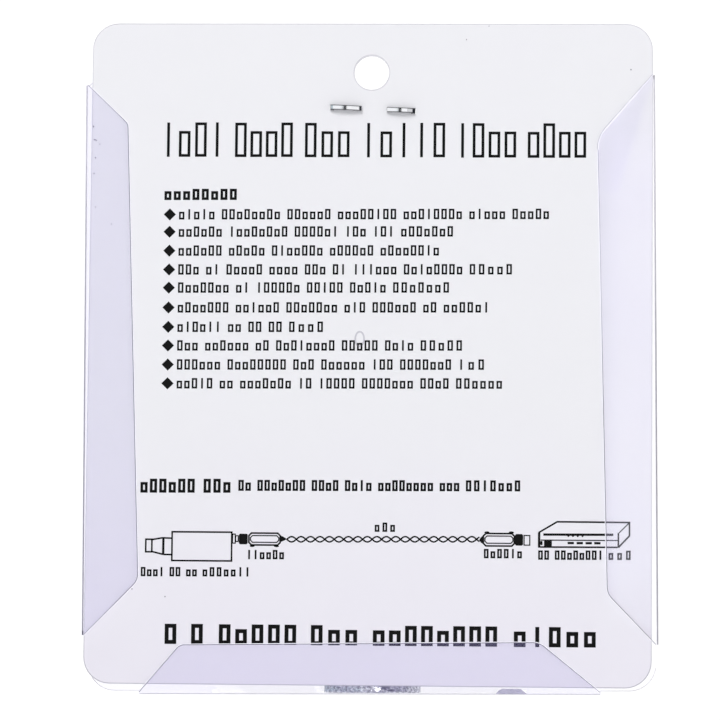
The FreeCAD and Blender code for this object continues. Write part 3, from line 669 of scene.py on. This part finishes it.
# The camera: a lens in three steps and a plain body
CAMERA_OUTLINES = [box_line(-33.3, -32.38, -72.75, -70.87), box_line(-29.35, -20.38, -74.03, -69.72)]
CAMERA_STROKES = [[(-32.3, -70.9), (-30.75, -70.63)], [(-32.3, -72.72), (-30.75, -73.1)],
                  [(-30.6, -70.65), (-29.45, -70.68)], [(-30.6, -73.13), (-29.45, -73.15)]]
for outline in CAMERA_OUTLINES:
    ribbon(sheet, outline, LINE, True)
for stroke in CAMERA_STROKES:
    ribbon(sheet, stroke, LINE)
ribbon(sheet, [(-30.66, -70.52), (-30.66, -73.22)], BOLD)

# The two adapters: a dark bayonet plug, a body drawn with two outlines, and a dark cable nose
ADAPTERS = [(-17.8, -13.1, -71.6, -69.82), (17.32, 21.95, -71.48, -69.62)]
for x_left, x_right, z_low, z_high in ADAPTERS:
    ribbon(sheet, cut_box(x_left, x_right, z_low, z_high, 0.38), LINE, True)
    ribbon(sheet, cut_box(x_left + 0.24, x_right - 0.22, z_low + 0.4, z_high - 0.38, 0.3), FINE, True)
slab(sheet, cut_box(-19.3, -17.98, -71.52, -69.93, 0.16))
slab(sheet, cut_box(22.06, 23.25, -71.4, -69.67, 0.16))
for outline in (box_line(-20.25, -19.85, -71.35, -70.0), box_line(-19.8, -19.4, -71.1, -70.25),
                box_line(23.4, 24.25, -71.32, -69.88)):
    ribbon(sheet, outline, FINE, True)
slab(sheet, [(-12.98, -71.1), (-12.98, -70.2), (-12.7, -70.3), (-12.05, -70.7), (-12.7, -71.0)])
slab(sheet, [(17.2, -70.0), (17.2, -71.15), (16.95, -71.0), (16.7, -70.6), (16.95, -70.2)])
for x, z in ((-17.3, -71.75), (-13.65, -71.75), (17.85, -69.47), (21.5, -69.45)):
    foot(x, z)

# The recorder: a low box in perspective with a slot, four marks, four keys and a dark corner
RECORDER_STROKES = [(LINE, [(25.6, -69.42), (28.33, -67.8), (39.1, -67.83), (39.1, -69.82), (37.45, -71.58)]),
                    (BOLD, [(25.64, -69.4), (25.64, -71.68)]), (LINE, [(25.7, -71.58), (37.35, -71.55)]),
                    (LINE, [(37.45, -69.4), (37.45, -71.6)]), (FINE, [(37.55, -69.4), (39.0, -67.95)]),
                    (BOLD, [(26.27, -69.72), (36.7, -69.68)]), (FINE, [(25.85, -70.55), (37.35, -70.53)])]
for width, stroke in RECORDER_STROKES:
    ribbon(sheet, stroke, width)
for x in (30.0, 30.68, 31.4, 32.12):
    slab(sheet, [(x - 0.2, -69.88), (x, -70.1), (x + 0.2, -69.88)])
for x in (29.89, 31.24, 32.57, 33.86):
    ribbon(sheet, [(x, -70.96), (x + 0.94, -70.95)], BOLD)
slab(sheet, box_line(26.38, 27.55, -71.48, -70.64))
slab(sheet, cut_box(25.82, 26.15, -71.3, -70.68, 0.08))

PAIR_LEFT, PAIR_RIGHT, PAIR_TWIST, PAIR_HALF = -12.1, 16.75, 2.84, 0.4
steps = 240
for side in (-1, 1):
    path = []
    for i in range(steps + 1):
        x = PAIR_LEFT + (PAIR_RIGHT - PAIR_LEFT) * i / steps
        z = -70.72 + 0.0076 * (x - PAIR_LEFT) + side * PAIR_HALF * math.sin(math.pi * (x - PAIR_LEFT) / (PAIR_TWIST / 2))
        path.append((x, z))
    ribbon(sheet, path, 0.23, inner=INK_INNER + 0.002 * side, outer=INK_OUTER + 0.002 * side)
made_piece("print_drawing", sheet, black_ink)

CAPTIONS = [(-34.1, -17.5, -76.4), (-18.2, -12.4, -73.8), (0.95, 4.2, -69.65), (17.3, 23.2, -73.55),
            (25.4, 39.4, -73.75)]
caption_words = []
for left, line_end, base in CAPTIONS:
    caption_words += broken_into_words(left, line_end, base, 0.92, chance)
print_rows("print_captions", caption_words, plain_shapes("caption_shapes", 1.4, 0.7, 0.27, 1.05), 0.92, 23)

# %% [markdown]
# ## A faint mark and dust
#
# Two things are not part of the design: a pale oval ring pressed into the middle of the card,
# and dark specks of dust caught between the card and the folded sheet. Both are in the photo,
# so both are here, as very thin pieces that sit where they were seen.

# %% A faint mark and dust
sheet = bmesh.new()
oval = [(-1.47 + 0.66 * math.cos(a * math.pi / 18), -40.52 + 1.1 * math.sin(a * math.pi / 18)) for a in range(36)]
ribbon(sheet, oval, 0.26, True)
made_piece("mark_oval", sheet, grey_ink)

cut_board, tree, shader = finish("board_die_cut_edge", "#d8d7dc", 0.7)
edge_colour_and_shade = blend(tree, noise(tree, 4, 3), "#cfced3", "#e3e2e7")
# The grey of the crushed cut edge is its own; towards the card's foot it is painted darker, as painted shade along
# the lower edge.
edge_colour_and_shade = blend(tree, along(tree, "Z", -84, -90), edge_colour_and_shade, "#bdbbc4")
tree.links.new(edge_colour_and_shade, shader.inputs["Base Color"])
card_low, card_high = (v / MM for v in (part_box("backing_card")[0][2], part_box("backing_card")[1][2]))
card_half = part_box("backing_card")[1][0] / MM
CARD_CORNER, EDGE_INSET, RIM = 4.0, 0.07, 0.13
corner = CARD_CORNER - EDGE_INSET
edge_line = []
for quarter, (side, z) in enumerate(((1, card_high), (-1, card_high), (-1, card_low), (1, card_low))):
    middle_x = side * (card_half - CARD_CORNER)
    middle_z = z - CARD_CORNER if z == card_high else z + CARD_CORNER
    for step in range(9):
        angle = (quarter + step / 8) * math.pi / 2
        edge_line.append((middle_x + corner * math.cos(angle), middle_z + corner * math.sin(angle)))
sheet = bmesh.new()
ribbon(sheet, edge_line, RIM, True, outer=-0.012)
HOLE_RADIUS, HOLE_RIM = 2.62, 0.16
hole_line = HOLE_RADIUS + HOLE_RIM / 2 + 0.01
ribbon(sheet, [(hole_line * math.cos(a * math.pi / 24), hole_line * math.sin(a * math.pi / 24)) for a in range(48)],
       HOLE_RIM, True, outer=-0.012)
made_piece("card_cut_edges", sheet, cut_board)

dust_finish, tree, shader = finish("dust_mineral", "#77727f", 0.9)
tree.links.new(blend(tree, noise(tree, 0.2, 2), "#6c6775", "#8d8895"), shader.inputs["Base Color"])
SPECKS = [(-42.2, -8.35, 0.13), (-41.98, -10.36, 0.14), (-41.75, -10.5, 0.12), (-41.18, -11.05, 0.1),
          (-41.81, -13.1, 0.12), (-41.97, -15.53, 0.12), (-41.69, -20.65, 0.1), (-39.23, -23.23, 0.1),
          (14.29, 5.08, 0.09), (39.15, 0.53, 0.11), (17.69, 7.17, 0.08), (-35.29, -78.34, 0.11),
          (-30.29, -79.44, 0.1)]
sheet = bmesh.new()
for x, z, size in SPECKS:
    corners = [(a * math.pi / 3.5, size * chance.uniform(0.7, 1.2)) for a in range(7)]
    slab(sheet, [(x + r * math.cos(a), z + r * math.sin(a)) for a, r in corners], outer=-0.03)
made_piece("dust_specks", sheet, dust_finish)

# %% [markdown]
# ## Cut edges and folds of the sheet
#
# A clear sheet is nearly invisible face on; what the eye follows are its cut edges and its
# folds, where light is caught inside the plastic. They are found on the frame's own mesh: an
# edge between a flat face of the sheet and its narrow side face. Two fine threads inside the
# sheet stand for the trapped light, a bright one at the very edge and a grey one behind it,
# so nothing stands out of the real shape.

# %% Cut edges and folds of the sheet
EDGE_GLOW = 0.3
edge_finish, tree, shader = finish("pvc_sheared_edge", "#8f8d98", 0.4)
# The grey edge line is painted shade: lighter left of X -38.5 mm than elsewhere, and lighter again on the right
# flange's upper inner edge, as painted sheen where glare lies.
edge_shade_left = blend(tree, noise(tree, 6, 2), "#807e88", "#a09ea8")
edge_shade_elsewhere = blend(tree, noise(tree, 6, 2), "#5a5863", "#7c7a85")
cut_colour = blend(tree, along(tree, "X", -38.5, -37), edge_shade_left, edge_shade_elsewhere)
glare_on_edge = add(tree, "ShaderNodeMath", {0: along(tree, "X", 30, 32), 1: along(tree, "Z", -48, -34)},
            operation="MULTIPLY")
tree.links.new(blend(tree, glare_on_edge.outputs["Value"], cut_colour, "#b8b6c0"), shader.inputs["Base Color"])
glint_finish, tree, shader = finish("pvc_edge_glint", "#ffffff", 0.25)
tree.links.new(blend(tree, noise(tree, 5, 2), "#f6f5fb", "#ffffff"), shader.inputs["Base Color"])
shader.inputs["Emission Color"].default_value = linear("#ffffff")
shader.inputs["Emission Strength"].default_value = EDGE_GLOW
faint_finish, tree, shader = finish("pvc_edge_in_glare", "#dbdae2", 0.4)
tree.links.new(blend(tree, noise(tree, 5, 2), "#b4b2bc", "#cfced6"), shader.inputs["Base Color"])
fold_finish, tree, shader = finish("pvc_hot_fold", "#a9a8ae", 0.4)
# The fold lines are painted shade of the fold: paler above Z -12 mm and darker below Z -42 mm.
fold_shade_high = blend(tree, noise(tree, 2, 3), "#c3c2c7", "#dddce0")
fold_shade_low = blend(tree, noise(tree, 2, 3), "#8e8d94", "#b4b3b9")
tree.links.new(blend(tree, along(tree, "Z", -12, -42), fold_shade_high, fold_shade_low), shader.inputs["Base Color"])
outline_finish, tree, shader = finish("pvc_trimmed_outline", "#c9c8ce", 0.4)
tree.links.new(blend(tree, noise(tree, 3, 3), "#bdbcc2", "#d9d8dd"), shader.inputs["Base Color"])
# The slits at the fold ends are painted dark, as painted shade in the cut.
slit_shade_finish, tree, shader = finish("pvc_slit_end_painted_shade", "#55545a", 0.5)
tree.links.new(blend(tree, noise(tree, 0.3, 2), "#48474d", "#6a696f"), shader.inputs["Base Color"])
THREAD = 0.05
THREAD_SINK = 0.03
RIDGE_SPREAD = 0.16


def thread_maker():
    tree = bpy.data.node_groups.new("edge_threads", "GeometryNodeTree")
    sockets = (("Lines", "INPUT", "NodeSocketGeometry"), ("Radius", "INPUT", "NodeSocketFloat"),
               ("Finish", "INPUT", "NodeSocketMaterial"), ("Threads", "OUTPUT", "NodeSocketGeometry"))
    for name, way, kind in sockets:
        tree.interface.new_socket(name, in_out=way, socket_type=kind)
    given = add(tree, "NodeGroupInput")
    line = add(tree, "GeometryNodeMeshToCurve", {"Mesh": given.outputs["Lines"]})
    section = add(tree, "GeometryNodeCurvePrimitiveCircle", {"Resolution": 6, "Radius": given.outputs["Radius"]})
    solid = add(tree, "GeometryNodeCurveToMesh", {"Curve": line.outputs["Curve"],
                                                  "Profile Curve": section.outputs["Curve"], "Fill Caps": True})
    real = add(tree, "GeometryNodeRealizeInstances", {"Geometry": solid.outputs["Mesh"]})
    worn = add(tree, "GeometryNodeSetMaterial", {"Geometry": real.outputs["Geometry"],
                                                 "Material": given.outputs["Finish"]})
    add(tree, "NodeGroupOutput", {"Threads": worn.outputs["Geometry"]})
    return tree


def sheet_edges(level, facing, keep):
    # Edges of the sheet's flat face at this Y level that meet a side face, with that side's direction
    film = bmesh.new()
    film.from_mesh(frame["nodes"]["blister"].data)
    bmesh.ops.remove_doubles(film, verts=film.verts[:], dist=1e-7)
    places, sides, pairs, numbers = [], [], [], {}
    for edge in film.edges:
        if len(edge.link_faces) != 2 or any(abs(v.co.y - level) > 0.01 * MM for v in edge.verts):
            continue
        flat = [f for f in edge.link_faces if f.normal.y * facing > 0.99]
        side = [f for f in edge.link_faces if abs(f.normal.y) < 0.3]
        middle = (edge.verts[0].co + edge.verts[1].co) / 2
        if len(flat) != 1 or len(side) != 1 or not keep(middle / MM):
            continue
        for v in edge.verts:
            if v.index not in numbers:
                numbers[v.index] = len(places)
                places.append(v.co.copy())
                sides.append(Vector())
            sides[numbers[v.index]] += side[0].normal
        pairs.append([numbers[v.index] for v in edge.verts])
    film.free()
    return places, sides, pairs


def inside_sheet(found, facing, inset):
    places, sides, pairs = found
    sink = Vector((0, -facing * (THREAD + THREAD_SINK) * MM, 0))
    return [p - s.normalized() * inset * MM + sink for p, s in zip(places, sides)], pairs


def thread_piece(name, spots, pairs, material, radius=THREAD):
    mesh = bpy.data.meshes.new(name)
    mesh.from_pydata(spots, pairs, [])
    piece = bpy.data.objects.new(name, mesh)
    bpy.context.scene.collection.objects.link(piece)
    modifier = piece.modifiers.new("threads", "NODES")
    modifier.node_group = THREAD_MAKER
    values = {"Radius": radius * MM, "Finish": material}
    for item in THREAD_MAKER.interface.items_tree:
        if item.name in values:
            modifier[item.identifier] = values[item.name]
    ready = bpy.data.meshes.new_from_object(piece.evaluated_get(bpy.context.evaluated_depsgraph_get()))
    piece.modifiers.clear()
    piece.data = ready
    piece.visible_shadow = False
    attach(piece, "pack")
    print(name, len(pairs), "lines,", len(ready.polygons), "faces")
    return piece


SKEW = math.radians(-0.45)
FOLD_Y = 0.2
FOLDS = [("film_fold_left", 0.11, fold_finish, (-43.3, -84.9), (-43.3, -1.7)),
         ("film_fold_right", 0.135, fold_finish, (42.66, -86.3), (42.66, -0.7)),
         ("film_fold_bottom", 0.07, outline_finish, (-34.7, -93.67), (34.1, -93.67)),
         ("film_slit_low", 0.125, slit_shade_finish, (-43.29, -84.95), (-43.29, -84.3)),
         ("film_slit_high", 0.125, slit_shade_finish, (42.64, -1.25), (42.64, -0.65))]


def fold_ends(*ends):
    return [(MM * (x * math.cos(SKEW) + z * math.sin(SKEW)), MM * FOLD_Y,
             MM * (z * math.cos(SKEW) - x * math.sin(SKEW))) for x, z in ends]


def bubble_ridges(shortest_mm):
    # The long mesh edges along the middle of the bubble's rounded ridges, sunk into the sheet
    film = bmesh.new()
    film.from_mesh(frame["nodes"]["blister"].data)
    bmesh.ops.remove_doubles(film, verts=film.verts[:], dist=1e-7)
    spots, pairs = [], []
    for edge in film.edges:
        if len(edge.link_faces) != 2 or edge.calc_length() < shortest_mm * MM:
            continue
        first, second = (face.normal for face in edge.link_faces)
        outward = (first + second).normalized()
        turn_here = math.degrees(first.angle(second, 0.0))
        diagonal = sorted(abs(c) for c in outward)[1:]
        if not 2 < turn_here < 40 or diagonal[1] - diagonal[0] > RIDGE_SPREAD:
            continue
        if outward.y < 0.05 or min(v.co.y for v in edge.verts) < 1.5 * MM:
            continue
        if max(v.co.z for v in edge.verts) < -92.4 * MM:
            continue
        pairs.append((len(spots), len(spots) + 1))
        spots += [v.co - outward * (THREAD + THREAD_SINK) * MM for v in edge.verts]
    film.free()
    return spots, pairs


def in_glare(place):
    return place.x > 30 and place.z > -30


def beyond_card(place):
    low_corner = abs(place.x) > 25 and place.z < -89.6
    return low_corner or place.z > -4


THREAD_MAKER = thread_maker()
BACK_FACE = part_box("blister")[0][1]
FRONT_FACE = 0.71 * MM
plain_edges = sheet_edges(BACK_FACE, -1, lambda place: not in_glare(place))
glare_edges = sheet_edges(BACK_FACE, -1, in_glare)
thread_piece("film_edge_glints", *inside_sheet(plain_edges, -1, THREAD), glint_finish)
thread_piece("film_cut_edges", *inside_sheet(plain_edges, -1, THREAD * 3), edge_finish, 0.06)
thread_piece("film_glints_in_glare", *inside_sheet(glare_edges, -1, THREAD * 3), glint_finish)
thread_piece("film_edges_in_glare", *inside_sheet(glare_edges, -1, THREAD), faint_finish)
thread_piece("film_front_outline", *inside_sheet(sheet_edges(FRONT_FACE, 1, beyond_card), 1, THREAD),
             outline_finish)
for name, radius, worn, start, end in FOLDS:
    thread_piece(name, fold_ends(start, end), [(0, 1)], worn, radius)
# Grey threads along the bubble's rounded ridges are painted reflection lines of the formed bends.
ridge_reflection_finish, tree, shader = finish("pvc_ridge_painted_reflection", "#c6c5cd", 0.3)
tree.links.new(blend(tree, noise(tree, 6, 2), "#b9b8c1", "#d4d3da"), shader.inputs["Base Color"])
thread_piece("film_bubble_ridges", *bubble_ridges(4.0), ridge_reflection_finish)

# Where the bubble's right wall shows below the card it is seen edge-on through several layers; this lavender patch
# is painted shade and reflection for that.
wall_shade_finish, tree, shader = finish("pvc_bubble_wall_painted_shade", "#b9b6d0", 0.6)
tree.links.new(blend(tree, noise(tree, 0.8, 3), "#8b88a8", "#bcbace"), shader.inputs["Base Color"])
shader.inputs["Alpha"].default_value = 0.5
sheet = bmesh.new()
slab(sheet, [(19.3, -93.5), (19.7, -93.0), (20.3, -92.72), (23.0, -92.72), (24.0, -93.5)],
     inner=0.16, outer=0.14)
made_piece("film_scuff", sheet, wall_shade_finish)
